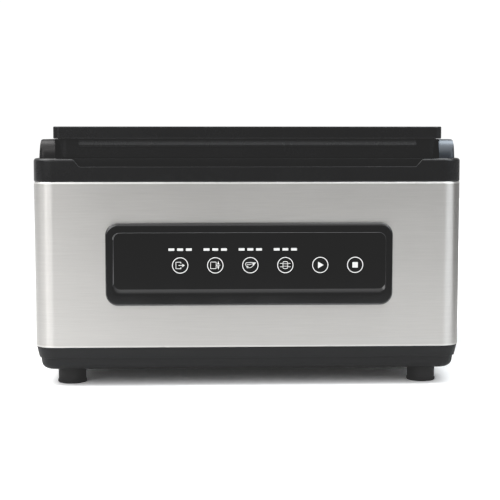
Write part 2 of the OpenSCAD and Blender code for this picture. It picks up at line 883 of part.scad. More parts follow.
module vacuum_hoses() {
    color("#3b3b3d") {
        // pump to valves
        for (i = [0, 1])
            let (x = head_xs[i], to_x = valve_x + [8, 52][i], z = valve_z + 10)
                hose([[x, pump_y + 25, pump_z + 36], [x, 76, pump_z + 36], [to_x, 80, z], [to_x, valve_y, z]],
                     3.4, [1, 0, 0]);
        // valves to chamber
        hose([[valve_x + 60, 111, valve_z + 14], [-20, 111, valve_z + 14], [-20, suction_y, 94],
              [suction_x, suction_y, 94], [suction_x, suction_y, tub_floor_z - 12]], 3.4, [0, 0, 1]);
        // air line of the lift cylinders
        hose([[-pin_x, bar_y, cup_z - 9], [-pin_x, bar_y, 56], [pin_x, bar_y, 56], [pin_x, bar_y, cup_z - 9]],
             2.6, [0, 1, 0]);
        hose([[0, bar_y, 56], [0, -80, 56], [0, -60, 25], [-142, -60, 25], [-142, 111, 25],
              [-142, 111, valve_z + 10], [valve_x, 111, valve_z + 10]], 2.6, [1, 0, 0]);
        // valves to accessory port
        hose([[port_x, rear_y - 14, port_z], [port_x, 128, port_z], [port_x, 128, valve_z + 5],
              [20, 111, valve_z + 5], [valve_x + 60, 111, valve_z + 5]], 3, [1, 0, 0]);
    }
}

// ---------- electrics ----------

module transformer_core() {
    color("#5d5f63")
    translate([transformer_x, transformer_y, pan_floor_z]) {
        difference() {
            translate([-33, -24, 2]) cube([66, 48, 57]);
            translate([-22, -30, 14]) cube([12, 60, 34]);
            translate([10, -30, 14]) cube([12, 60, 34]);
        }
        translate([-42, -24, 0]) cube([84, 48, 3]);
    }
}

module transformer_coils() {
    color("#9c5f34")
    translate([transformer_x, transformer_y, pan_floor_z]) {
        for (x = [-21.5, 10.5]) translate([x, -32, 14.5]) cube([11, 64, 33]);
        for (y = [-32, 24.2]) translate([-21.5, y, 14.5]) cube([43, 7.8, 33]);
    }
}

module power_board() {
    color("#1f5a35")
    translate([52, 84, pan_floor_z + 6]) {
        difference() {
            cube([96, 60, 1.6]);
            for (x = [5, 91], y = [5, 55]) translate([x, y, -1]) cylinder(r = 1.6, h = 4);
        }
        translate([8, 10, 1.6]) cube([18, 15, 14]);
        translate([30, 10, 1.6]) cube([18, 15, 14]);
        translate([60, 18, 1.6]) cylinder(r = 8, h = 22);
        translate([56, 36, 1.6]) cube([26, 16, 3]);
        for (x = [5, 91], y = [5, 55]) translate([x, y, -6]) difference() {
            cylinder(r = 3.2, h = 6);
            translate([0, 0, -1]) cylinder(r = 1.4, h = 8);
        }
    }
}

module fan_frame() {
    strut_h = 3;
    color("#2f2f31")
    translate([fan_x, fan_y, fan_z]) rotate([-90, 0, 0]) {
        difference() {
            translate([-fan_s / 2, -fan_s / 2, 0]) cube([fan_s, fan_s, fan_t]);
            translate([0, 0, strut_h]) cylinder(r = 28, h = fan_t);
            // four windows round the hub, between the struts
            translate([0, 0, -1]) linear_extrude(strut_h + 2)
                difference() {
                    circle(27.5);
                    circle(13);
                    square([60, 3.2], center = true);
                    square([3.2, 60], center = true);
                }
            for (x = [-25, 25], z = [-25, 25]) translate([x, z, -1]) cylinder(r = 2, h = fan_t + 2);
        }
        translate([0, 0, 1]) cylinder(r = 2, h = 10);
    }
}

module fan_rotor() {
    blade_count = 7;
    color("#3a3a3c")
    difference() {
        union() {
            y_rod(fan_y + 3.6, fan_y + 13, 12.5, fan_x, fan_z);
            for (i = [0:blade_count - 1])
                translate([fan_x, fan_y + 8.3, fan_z]) rotate([0, i * 360 / blade_count, 0])
                    translate([11, 0, 0]) rotate([38, 0, 0]) translate([0, -5, -0.7]) cube([15.5, 10, 1.4]);
        }
        y_rod(fan_y + 3, fan_y + 11.6, 2 + run, fan_x, fan_z);
    }
}

module power_inlet() {
    color("#232324")
    difference() {
        union() {
            translate([inlet_x - 13.7, rear_y - 20, inlet_z - 10.2]) cube([27.4, 20.5, 20.4]);
            translate([inlet_x - 17, rear_y, inlet_z - 13]) cube([34, proud, 26]);
        }
        // socket of the inlet, with two cut corners
        translate([inlet_x, rear_y + proud + 1, inlet_z]) rotate([90, 0, 0]) linear_extrude(18)
            polygon([[-12, -8], [12, -8], [12, 3.5], [7.5, 8], [-7.5, 8], [-12, 3.5]]);
    }
    color("silver")
    for (p = [[-7, 1.5], [0, -2.5], [7, 1.5]])
        translate([inlet_x + p[0] - 1, rear_y - 16, inlet_z + p[1] - 2]) cube([2, 13.5, 4]);
}

module switch_frame() {
    color("#232324")
    difference() {
        union() {
            translate([inlet_x - 9.7, rear_y - 16, rocker_z - 6.7]) cube([19.4, 16.5, 13.4]);
            translate([inlet_x - 12, rear_y, rocker_z - 9]) cube([24, 1.5, 18]);
        }
        translate([inlet_x - 8.6, rear_y - 9.5, rocker_z - 5.6]) cube([17.2, 15, 11.2]);
        translate([inlet_x, rocker_y, rocker_z - 6.3]) cylinder(r = 1.2 + run, h = 12.6);
    }
}

// Rocker of the mains switch: it turns about Z, with its left end pressed in at rest.
module power_rocker() {
    color("#1d1d1e")
    translate([inlet_x, rocker_y, rocker_z]) {
        translate([0, 0, -5.2]) linear_extrude(10.4)
            polygon([[-7.4, 0.4], [0, 1.7], [7.4, 3.2], [7, -2.5], [0, -5], [-7, -4.5]]);
        translate([0, 0, -6.1]) cylinder(r = 1.2, h = 12.2);
    }
}

module accessory_port() {
    color("#8f9092")
    difference() {
        union() {
            y_rod(rear_y, rear_y + 2, 10, port_x, port_z);
            y_rod(rear_y - 14, rear_y + 1, 7, port_x, port_z);
        }
        y_rod(rear_y - 12, rear_y + 3, port_r, port_x, port_z);
    }
}

// ---------- what is drawn ----------

base_pan();
foot(-foot_x, -foot_y);  // foot_front_left
foot(foot_x, -foot_y);  // foot_front_right
foot(-foot_x, foot_y);  // foot_rear_left
foot(foot_x, foot_y);  // foot_rear_right
foot_screws();
outer_shell();
rear_panel();
rear_panel_screws();
top_housing();
side_rail(-1);  // side_rail_left
side_rail(1);  // side_rail_right
hinge_pins();
chamber_tub();
suction_cap();
lift_cylinder(-1);  // lift_cylinder_left
lift_cylinder(1);  // lift_cylinder_right
bar_springs();
seal_bar();
heating_strip();
sealing_tape();
bar_end_caps();
lift_pins();
panel_bezel();
panel_overlay();
level_lights();
control_board();
key_switches();
key(0);  // key_vacuum_level
key(1);  // key_seal_time
key(2);  // key_marinate
key(3);  // key_canister
key(4);  // key_start
key(5);  // key_stop
lid_frame();
lid_window();
lid_retainer();
lid_gasket();
backing_holder();
backing_strip();
lid_screws();
hinge_arm(-1);  // hinge_arm_left
hinge_arm(1);  // hinge_arm_right
lid_springs();
pump_motor();
pump_heads();
pump_rotor();
pump_plate();
pump_dampers();
valve_block();
vacuum_hoses();
transformer_core();
transformer_coils();
power_board();
fan_frame();
fan_rotor();
power_inlet();
switch_frame();
power_rocker();
accessory_port();
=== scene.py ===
import json
import math

import bmesh
import bpy
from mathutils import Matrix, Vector


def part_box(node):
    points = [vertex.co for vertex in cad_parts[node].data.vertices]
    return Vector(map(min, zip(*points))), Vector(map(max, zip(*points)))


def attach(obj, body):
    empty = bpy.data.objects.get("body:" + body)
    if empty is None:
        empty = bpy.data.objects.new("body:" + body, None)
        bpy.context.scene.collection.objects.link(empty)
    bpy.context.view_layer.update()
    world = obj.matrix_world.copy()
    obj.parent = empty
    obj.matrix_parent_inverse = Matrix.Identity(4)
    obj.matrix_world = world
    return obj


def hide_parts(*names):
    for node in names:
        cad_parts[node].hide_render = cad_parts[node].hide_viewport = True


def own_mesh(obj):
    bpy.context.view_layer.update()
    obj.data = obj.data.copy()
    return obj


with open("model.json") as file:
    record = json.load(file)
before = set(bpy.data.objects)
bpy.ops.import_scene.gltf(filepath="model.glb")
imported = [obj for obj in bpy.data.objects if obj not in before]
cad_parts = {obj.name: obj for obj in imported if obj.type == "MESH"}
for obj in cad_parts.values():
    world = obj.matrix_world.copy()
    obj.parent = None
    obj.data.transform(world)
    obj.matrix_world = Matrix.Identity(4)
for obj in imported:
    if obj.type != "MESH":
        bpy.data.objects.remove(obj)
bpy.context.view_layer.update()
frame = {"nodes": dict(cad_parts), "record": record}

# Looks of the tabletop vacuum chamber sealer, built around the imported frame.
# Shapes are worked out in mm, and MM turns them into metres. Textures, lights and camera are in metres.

MM = 0.001
NODES = frame["nodes"]


def box_mm(node):
    return tuple(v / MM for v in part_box(node))


# ---------- materials ----------

class Graph:
    """A node tree with short ways to add and link nodes."""

    def __init__(self, tree):
        self.tree = tree

    def node(self, kind, settings=(), **inputs):
        made = self.tree.nodes.new(kind)
        for key, value in dict(settings).items():
            setattr(made, key, value)
        for socket, value in inputs.items():
            self.feed(made.inputs[socket.replace("_", " ")], value)
        return made

    def feed(self, socket, value):
        if isinstance(value, bpy.types.NodeSocket):
            self.tree.links.new(value, socket)
        else:
            socket.default_value = value

    def spread(self, value, low, high, start=0.3, end=0.7, smooth=False):
        """Turns start to end into low to high."""
        kind = "SMOOTHSTEP" if smooth else "LINEAR"
        return self.node("ShaderNodeMapRange", {"interpolation_type": kind}, Value=value, From_Min=start,
                         From_Max=end, To_Min=low, To_Max=high).outputs[0]

    def math(self, operation, a, b):
        made = self.node("ShaderNodeMath", {"operation": operation})
        self.feed(made.inputs[0], a)
        self.feed(made.inputs[1], b)
        return made.outputs[0]


class Paint(Graph):
    """A Principled material: constants go straight to the shader's sockets, and the methods add textures."""

    # a wave texture repeats every pi / 10 at scale 1, so this scale makes it repeat every unit
    WAVE_SCALE = 0.314

    def __init__(self, name, color, **constants):
        self.material = bpy.data.materials.new(name)
        self.material.use_nodes = True
        super().__init__(self.material.node_tree)
        self.shader = self.tree.nodes["Principled BSDF"]
        self.shader.inputs["Base Color"].default_value = (*color, 1)
        for socket, value in constants.items():
            self.shader.inputs[socket.replace("_", " ")].default_value = value
        self.coords = self.node("ShaderNodeTexCoord").outputs["Object"]

    def noise(self, size, detail=4.0, stretch=(1, 1, 1)):
        """Noise whose grain is about size metres across, drawn out along an axis where stretch is over 1."""
        scale = [1 / (size * s) for s in stretch]
        place = self.node("ShaderNodeMapping", Vector=self.coords, Scale=scale)
        return self.node("ShaderNodeTexNoise", Vector=place.outputs[0], Scale=1.0, Detail=detail,
                         Roughness=0.55).outputs["Fac"]

    def cells(self, size, feature="F1"):
        place = self.node("ShaderNodeMapping", Vector=self.coords, Scale=[1 / size] * 3)
        return self.node("ShaderNodeTexVoronoi", {"feature": feature}, Vector=place.outputs[0],
                         Scale=1.0).outputs["Distance"]

    def waves(self, size, direction):
        place = self.node("ShaderNodeMapping", Vector=self.coords, Scale=[1 / size] * 3)
        return self.node("ShaderNodeTexWave", {"bands_direction": direction}, Vector=place.outputs[0],
                         Scale=self.WAVE_SCALE).outputs["Fac"]

    def blend_color(self, factor, color, kind="MIX"):
        """Blends the colour so far with another colour or with a socket."""
        before = self.shader.inputs["Base Color"]
        mixed = self.node("ShaderNodeMix", {"data_type": "RGBA", "blend_type": kind})
        self.feed(mixed.inputs["Factor"], factor)
        # inputs 6 and 7, and output 2, are the node's colours
        self.feed(mixed.inputs[6], before.links[0].from_socket if before.is_linked else before.default_value)
        self.feed(mixed.inputs[7], color)
        self.feed(before, mixed.outputs[2])
        return self

    def vary_color(self, value, low, high, start=0.3, end=0.7):
        """Multiplies the colour so far by low to high, as value goes from start to end."""
        factor = self.spread(value, low, high, start, end)
        gray = self.node("ShaderNodeCombineColor", Red=factor, Green=factor, Blue=factor)
        return self.blend_color(1.0, gray.outputs[0], "MULTIPLY")

    def tint(self, value, color, start=0.3, end=0.7):
        """Turns the colour so far into color, as value goes from start to end."""
        return self.blend_color(self.spread(value, 0.0, 1.0, start, end), (*color, 1))

    def vary_roughness(self, value, low, high, start=0.3, end=0.7):
        self.feed(self.shader.inputs["Roughness"], self.spread(value, low, high, start, end))
        return self

    def bump(self, value, distance):
        """Relief of the given depth in metres."""
        made = self.node("ShaderNodeBump", Height=value, Distance=distance, Strength=1.0)
        self.feed(self.shader.inputs["Normal"], made.outputs[0])
        return self

    def brushed(self, anisotropy):
        """Highlights drawn out across a brushing that runs round Z."""
        self.shader.inputs["Anisotropic"].default_value = anisotropy
        self.shader.inputs["Anisotropic Rotation"].default_value = 0.25
        tangent = self.node("ShaderNodeTangent", {"direction_type": "RADIAL", "axis": "Z"})
        self.feed(self.shader.inputs["Tangent"], tangent.outputs[0])
        return self


def brushed_steel(name, color, roughness, streak=0.00035, along=(70, 70, 1)):
    """Metal with fine brush lines, a faint drawn-out banding, and slow changes of gloss."""
    paint = Paint(name, color, Metallic=1.0)
    fine = paint.noise(streak, 3.0, along)
    band = paint.noise(0.003, 2.0, [s * 0.6 for s in along])
    cloud = paint.noise(0.12, 3.0)
    paint.vary_color(fine, 0.955, 1.035).vary_color(band, 0.988, 1.008).vary_color(cloud, 0.985, 1.01)
    paint.vary_roughness(paint.math("ADD", fine, paint.math("MULTIPLY", cloud, 0.4)),
                         roughness - 0.03, roughness + 0.04, 0.45, 0.95)
    return paint.bump(fine, 0.000006)


def moulded(name, color, roughness, grain=0.0006, depth=0.00002, **constants):
    """Moulded plastic with a spark-eroded grain, faint clouding and slightly worn, smoother patches."""
    paint = Paint(name, color, **constants)
    grain_noise = paint.noise(grain, 2.0)
    cloud = paint.noise(0.05, 4.0)
    paint.vary_color(cloud, 0.95, 1.05).vary_color(grain_noise, 0.96, 1.04)
    paint.vary_roughness(paint.math("ADD", cloud, paint.math("MULTIPLY", grain_noise, 0.35)),
                         roughness - 0.03, roughness + 0.03, 0.4, 0.95)
    return paint.bump(grain_noise, depth)


def metal(name, color, roughness, grain=0.0008, depth=0.00001):
    """Plain metal part with a faint machined or cast surface."""
    paint = Paint(name, color, Metallic=1.0)
    fine, cloud = paint.noise(grain, 3.0), paint.noise(0.02, 3.0)
    paint.vary_color(cloud, 0.88, 1.08).vary_color(fine, 0.95, 1.04)
    paint.vary_roughness(cloud, roughness - 0.08, roughness + 0.1)
    return paint.bump(fine, depth)


def rubber(name, color, roughness=0.75):
    paint = Paint(name, color)
    fine, cloud = paint.noise(0.0005, 2.0), paint.noise(0.02, 4.0)
    paint.vary_color(cloud, 0.8, 1.25).vary_roughness(fine, roughness - 0.08, roughness + 0.08)
    return paint.bump(fine, 0.00003)


def woven(name, color):
    """Glass cloth in its resin: two sets of threads."""
    thread = 0.0006
    paint = Paint(name, color)
    weave = paint.math("MULTIPLY", paint.waves(thread, "X"), paint.waves(thread, "Y"))
    cloud = paint.noise(0.01, 3.0)
    paint.vary_color(weave, 0.75, 1.15, 0.0, 1.0).vary_color(cloud, 0.85, 1.1)
    paint.vary_roughness(weave, 0.35, 0.6, 0.0, 1.0)
    return paint.bump(weave, 0.00006)


def circuit_board(name):
    """Green solder mask over tracks, with tinned pads."""
    paint = Paint(name, (0.012, 0.09, 0.035))
    tracks = paint.cells(0.006, "DISTANCE_TO_EDGE")
    pads = paint.cells(0.005)
    paint.tint(tracks, (0.02, 0.16, 0.06), 0.09, 0.06).tint(pads, (0.55, 0.55, 0.5), 0.12, 0.1)
    paint.vary_roughness(tracks, 0.3, 0.45, 0.05, 0.1)
    return paint.bump(tracks, 0.00003)


def windings(name):
    """Enamelled copper wire wound round Z."""
    paint = Paint(name, (0.5, 0.17, 0.06), Metallic=0.7)
    turns, cloud = paint.waves(0.0011, "Z"), paint.noise(0.01, 3.0)
    paint.vary_color(turns, 0.45, 1.15, 0.0, 1.0).vary_color(cloud, 0.8, 1.1)
    paint.vary_roughness(cloud, 0.25, 0.4)
    return paint.bump(turns, 0.0003)


def laminations(name):
    paint = Paint(name, (0.09, 0.095, 0.1), Metallic=0.8)
    sheets, cloud = paint.waves(0.0008, "Y"), paint.noise(0.012, 4.0)
    paint.vary_color(sheets, 0.6, 1.2, 0.0, 1.0).tint(cloud, (0.14, 0.09, 0.06), 0.55, 0.75)
    paint.vary_roughness(cloud, 0.4, 0.6)
    return paint.bump(sheets, 0.0001)


def smoked_acrylic(name):
    paint = Paint(name, (0.32, 0.33, 0.35), Transmission_Weight=1.0, IOR=1.49)
    cloud, dust = paint.noise(0.04, 3.0), paint.noise(0.0009, 1.0)
    paint.vary_roughness(cloud, 0.02, 0.06).vary_color(dust, 0.97, 1.0)
    return paint.bump(cloud, 0.00001)


def printed_white(name):
    paint = Paint(name, (0.7, 0.7, 0.69))
    grain, cloud = paint.noise(0.0004, 2.0), paint.noise(0.006, 2.0)
    paint.vary_color(grain, 0.96, 1.0).vary_color(cloud, 0.97, 1.0).vary_roughness(grain, 0.4, 0.55)
    return paint.bump(grain, 0.000004)


# finish of each material slot of the record
PAINTS = {
    "housing_black": moulded("satin_black", (0.013, 0.013, 0.0135), 0.27, depth=0.000012,
                             Specular_IOR_Level=0.45),
    "base_black": moulded("matte_black", (0.012, 0.012, 0.0124), 0.56, 0.0009, 0.00004,
                          Specular_IOR_Level=0.3),
    "foot_rubber": rubber("foot_rubber", (0.026, 0.0255, 0.0255)),
    "zinc_screw": metal("zinc_plate", (0.62, 0.62, 0.6), 0.34),
    "shell_steel": brushed_steel("brushed_shell", (0.52, 0.509, 0.492), 0.36).brushed(0.92),
    "rear_steel": moulded("powder_coat", (0.03, 0.03, 0.032), 0.5, 0.0011, 0.00008),
    "pin_steel": metal("ground_steel", (0.56, 0.56, 0.56), 0.25),
    "tub_steel": brushed_steel("satin_tub", (0.62, 0.62, 0.61), 0.36, 0.0005),
    "cap_nickel": metal("satin_nickel", (0.5, 0.49, 0.46), 0.3),
    "cylinder_plastic": moulded("natural_nylon", (0.62, 0.6, 0.53), 0.45),
    "spring_steel": metal("spring_wire", (0.5, 0.5, 0.5), 0.3, 0.0003),
    "bar_aluminium": brushed_steel("extruded_aluminium", (0.72, 0.73, 0.74), 0.34, 0.0005, (80, 1, 1)),
    "strip_alloy": metal("resistance_strip", (0.36, 0.33, 0.3), 0.4),
    "tape_cloth": woven("glass_cloth_tape", (0.3, 0.16, 0.06)),
    "cap_black": moulded("moulded_black", (0.02, 0.02, 0.02), 0.45, 0.0008, 0.00003),
    "pin_brass": metal("turned_brass", (0.62, 0.43, 0.16), 0.28),
    "bezel_black": moulded("gloss_black", (0.01, 0.01, 0.0102), 0.14, 0.0012, 0.000003,
                           Specular_IOR_Level=0.8),
    "overlay_black": moulded("overlay_film", (0.0045, 0.0045, 0.0046), 0.24, 0.0005, 0.000004,
                             Specular_IOR_Level=0.35),
    "light_white": printed_white("light_diffuser"),
    "board_green": circuit_board("circuit_board"),
    "switch_grey": moulded("switch_grey", (0.05, 0.05, 0.05), 0.5),
    "window_smoke": smoked_acrylic("smoked_acrylic"),
    "retainer_black": moulded("retainer_black", (0.022, 0.022, 0.022), 0.5, 0.0008, 0.00004),
    "gasket_rubber": rubber("gasket_rubber", (0.022, 0.022, 0.022), 0.6),
    "backing_silicone": rubber("silicone_red", (0.36, 0.045, 0.025), 0.45),
    "arm_steel": moulded("coated_arm", (0.026, 0.026, 0.028), 0.42, 0.0009, 0.00003),
    "motor_grey": moulded("cast_paint", (0.11, 0.115, 0.125), 0.5, 0.002, 0.0002),
    "head_aluminium": metal("die_cast", (0.5, 0.51, 0.52), 0.45, 0.0015, 0.0001),
    "rotor_steel": metal("turned_steel", (0.45, 0.45, 0.46), 0.3),
    "plate_steel": metal("zinc_sheet", (0.55, 0.55, 0.54), 0.36),
    "hose_rubber": rubber("hose_silicone", (0.04, 0.04, 0.042), 0.5),
    "core_steel": laminations("laminated_core"),
    "coil_copper": windings("copper_windings"),
}


# ---------- mesh helpers ----------

# in degrees: sharper edges are shaded crisp, sharper edges can be rounded, flatter edges are dissolved
CRISP, ROUNDABLE, FLAT = 35, 28, 0.3
# in metres: vertices closer than this are merged
WELD = 2e-6


def add_piece(name, mesh, body, slot, stands_for=(), paint=None):
    """Puts a mesh in the scene as a piece that rides on a body, with paint or else its slot's finish."""
    piece = bpy.data.objects.new(name, mesh)
    bpy.context.scene.collection.objects.link(piece)
    mesh.materials.clear()
    mesh.materials.append((paint or PAINTS[slot]).material)
    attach(piece, body)
    if stands_for:
        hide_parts(*stands_for)
    return piece


def smooth_fans(vert, sharp):
    """The faces round a vertex, in groups that no sharp edge divides."""
    waiting = list(vert.link_faces)
    while waiting:
        fan = [waiting.pop(0)]
        for face in fan:
            for edge in face.edges:
                if vert in edge.verts and not sharp[edge.index]:
                    joined = [f for f in edge.link_faces if f in waiting]
                    fan += joined
                    waiting = [f for f in waiting if f not in joined]
        yield fan


def corner_normals(bm, angle):
    """Normals weighted by area, so that a large face stays flat right up to its rounded edges."""
    bm.verts.index_update()
    bm.edges.index_update()
    bm.faces.index_update()
    sharp = [len(e.link_faces) != 2 or e.calc_face_angle(0) > math.radians(angle) for e in bm.edges]
    weighted = [f.normal * f.calc_area() for f in bm.faces]
    normals = {}
    for vert in bm.verts:
        for fan in smooth_fans(vert, sharp):
            total = sum((weighted[f.index] for f in fan), Vector()).normalized()
            for face in fan:
                normals[vert.index, face.index] = total
    return [normals[loop.vert.index, f.index] for f in bm.faces for loop in f.loops]


def mesh_from(name, bm, angle=CRISP):
    """A smooth-shaded mesh, with edges sharper than angle kept crisp."""
    bmesh.ops.recalc_face_normals(bm, faces=bm.faces)
    normals = corner_normals(bm, angle)
    mesh = bpy.data.meshes.new(name)
    bm.to_mesh(mesh)
    bm.free()
    mesh.polygons.foreach_set("use_smooth", [True] * len(mesh.polygons))
    mesh.set_sharp_from_angle(angle=math.radians(angle))
    mesh.normals_split_custom_set(normals)
    return mesh


def rounded_copy(node, body, slot, rules, paint=None, reshape=None):
    """A copy of a CAD node with some edges rounded, after reshape has moved its vertices.

    A rule is (width in mm, steps, test of an edge's middle).
    """
    bm = bmesh.new()
    bm.from_mesh(NODES[node].data)
    bmesh.ops.remove_doubles(bm, verts=bm.verts, dist=WELD)
    bmesh.ops.dissolve_limit(bm, angle_limit=math.radians(FLAT), verts=bm.verts, edges=bm.edges)
    if reshape:
        reshape(bm)
    for width, steps, test in rules:
        edges = [
            e for e in bm.edges
            if len(e.link_faces) == 2 and e.calc_face_angle(0) > math.radians(ROUNDABLE)
            and test((e.verts[0].co + e.verts[1].co) / 2 / MM)
        ]
        bmesh.ops.bevel(bm, geom=edges, offset=width * MM, segments=steps, profile=0.5, affect="EDGES",
                        offset_type="OFFSET", clamp_overlap=True)
    return add_piece(node + "_skin", mesh_from(node + "_skin", bm), body, slot, [node], paint)


def outline(centre, size, radius, steps=10):
    """Points round a rectangle with round corners, in the panel's plane: x and z in mm."""
    points = []
    for i, (sx, sz) in enumerate([(1, 1), (-1, 1), (-1, -1), (1, -1)]):
        cx = centre[0] + sx * (size[0] / 2 - radius)
        cz = centre[1] + sz * (size[1] / 2 - radius)
        for k in range(steps + 1):
            a = math.radians(90 * (i + k / steps))
            points.append((cx + radius * math.cos(a), cz + radius * math.sin(a)))
    return points


def circle(centre, radius, steps=48):
    turns = [2 * math.pi * k / steps for k in range(steps)]
    return [(centre[0] + radius * math.cos(a), centre[1] + radius * math.sin(a)) for a in turns]


def ring_of(bm, points, y):
    """Vertices in the panel's plane, from points and a depth y in mm."""
    return [bm.verts.new((x * MM, y * MM, z * MM)) for x, z in points]


def bridge(bm, a, b):
    """A band of faces between two loops of vertices."""
    for i in range(len(a)):
        j = (i + 1) % len(a)
        bm.faces.new((a[i], a[j], b[j], b[i]))


def stamp(bm, outer, holes, front, back):
    """A flat plate with holes in the panel's plane, from y = front to y = back, in mm."""
    sides = []
    for y in (front, back):
        loops = [ring_of(bm, points, y) for points in (outer, *holes)]
        edges = []
        for loop in loops:
            for i in range(len(loop)):
                edges.append(bm.edges.new((loop[i], loop[(i + 1) % len(loop)])))
        bmesh.ops.triangle_fill(bm, edges=edges, use_beauty=True)
        sides.append(loops)
    for a, b in zip(*sides):
        bridge(bm, a, b)


def stroke(points, width, closed):
    """Both sides of a line of the given width through points, with mitred corners."""
    sharpest = 0.3    # keeps the mitre of a very sharp corner short
    count = len(points)
    left, right = [], []
    for i in range(count):
        here = Vector(points[i])
        ahead = Vector(points[(i + 1) % count]) - here if closed or i < count - 1 else None
        behind = here - Vector(points[i - 1]) if closed or i > 0 else None
        d1 = (behind or ahead).normalized()
        d2 = (ahead or behind).normalized()
        n = Vector((-d1.y - d2.y, d1.x + d2.x))
        n = n / max(n.length_squared / 2, sharpest)
        left.append(here + n * width / 2)
        right.append(here - n * width / 2)
    return left, right


# ---------- the panel's signs ----------

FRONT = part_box("outer_shell")[0].y / MM
KEYS = ["key_vacuum_level", "key_seal_time", "key_marinate", "key_canister", "key_start", "key_stop"]
PRINT = printed_white("sign_print")
# in mm: how far the print reaches over and into the key, and the widths of its lines
PRINT_T = 0.05
RING_LINE, LINE, THIN_LINE = 0.7, 0.5, 0.4


def middle(node):
    low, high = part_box(node)
    return (low + high) / 2 / MM


def sign(key, lines, fills):
    """White print on a key.

    Lines are (points, width, closed) and fills are outlines, both in mm from the key's middle.
    """
    at = middle(key)
    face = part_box(key)[0].y / MM
    front, back = face - PRINT_T, face + PRINT_T
    bm = bmesh.new()
    for points, width, closed in lines:
        left, right = stroke([(at.x + x, at.z + z) for x, z in points], width, closed)
        if closed:
            stamp(bm, left, [right], front, back)
        else:
            stamp(bm, left + right[::-1], [], front, back)
    for points in fills:
        stamp(bm, [(at.x + x, at.z + z) for x, z in points], [], front, back)
    add_piece(key + "_sign", mesh_from(key + "_sign", bm, 30), key, "light_white", paint=PRINT)


RING = (circle((0, 0), 6.4), RING_LINE, True)
SIGNS = {
    # air leaving a bag
    "key_vacuum_level": (
        [([(0.6, 1.5), (0.6, 2.7), (-3.5, 2.7), (-3.5, -2.7), (0.6, -2.7), (0.6, -1.5)], LINE, False),
         ([(-1.4, 0), (2.2, 0)], LINE, False)],
        [[(1.7, 1.4), (3.9, 0), (1.7, -1.4)]],
    ),
    # a bag whose seam two jaws press
    "key_seal_time": (
        [(outline((-1.6, 0), (4.6, 5.5), 0.5, 4), LINE, True),
         ([(0.9, 0), (4.2, 0)], THIN_LINE, False)],
        [[(2.5, 3.7), (3.4, 0.8), (1.6, 0.8)], [(2.5, -3.7), (1.6, -0.8), (3.4, -0.8)]],
    ),
    # a joint of meat
    "key_marinate": (
        [([(-4.2, 0.8), (-3.2, 2.2), (1.0, 2.3), (4.3, 2.0),
           (2.4, -0.4), (0.4, -1.9), (-2.8, -2.3), (-3.4, -0.6)], LINE, True),
         ([(-3.0, 0.7), (-0.4, 0.5), (1.4, 1.1)], THIN_LINE, False)],
        [circle((-2.5, -1.4), 0.95, 16), [(1.7, 1.6), (4.2, 2.0), (2.1, -0.2)]],
    ),
    # a lidded canister with its hose ends
    "key_canister": (
        [(outline((0, 0), (3.9, 5.9), 1.0, 5), LINE, True),
         ([(-4.5, 1.4), (-1.9, 1.4)], LINE, False),
         ([(-4.5, -1.4), (-1.9, -1.4)], LINE, False),
         ([(1.9, 1.4), (4.3, 1.4)], LINE, False),
         ([(1.9, -1.4), (4.3, -1.4)], LINE, False),
         ([(-1.8, 1.1), (1.8, 1.1)], THIN_LINE, False),
         ([(-1.8, -0.9), (1.8, -0.9)], THIN_LINE, False)],
        [],
    ),
    "key_start": ([], [[(-1.9, 2.8), (2.9, 0), (-1.9, -2.8)]]),
    "key_stop": ([], [[(-2.3, 2.3), (2.3, 2.3), (2.3, -2.3), (-2.3, -2.3)]]),
}
for key, (lines, fills) in SIGNS.items():
    sign(key, [RING] + lines, fills)


# ---------- control panel ----------

LIGHT_PITCH = 7.2       # between two lights of a group of three
KEY_HOLE_R = 8.3
LIGHT_GAP = 0.2         # how much larger than its light a hole is
FLOOR_STAND = 0.95      # how far the bezel's floor stands over the shell


class Frame:
    """A rectangle with round corners, in the panel's plane and in mm."""

    def __init__(self, left, right, bottom, top, radius):
        self.values = left, right, bottom, top, radius

    def toward(self, other, share):
        return Frame(*(a + (b - a) * share for a, b in zip(self.values, other.values)))

    def points(self):
        left, right, bottom, top, radius = self.values
        centre = (left + right) / 2, (bottom + top) / 2
        return outline(centre, (right - left, top - bottom), radius, steps=12)


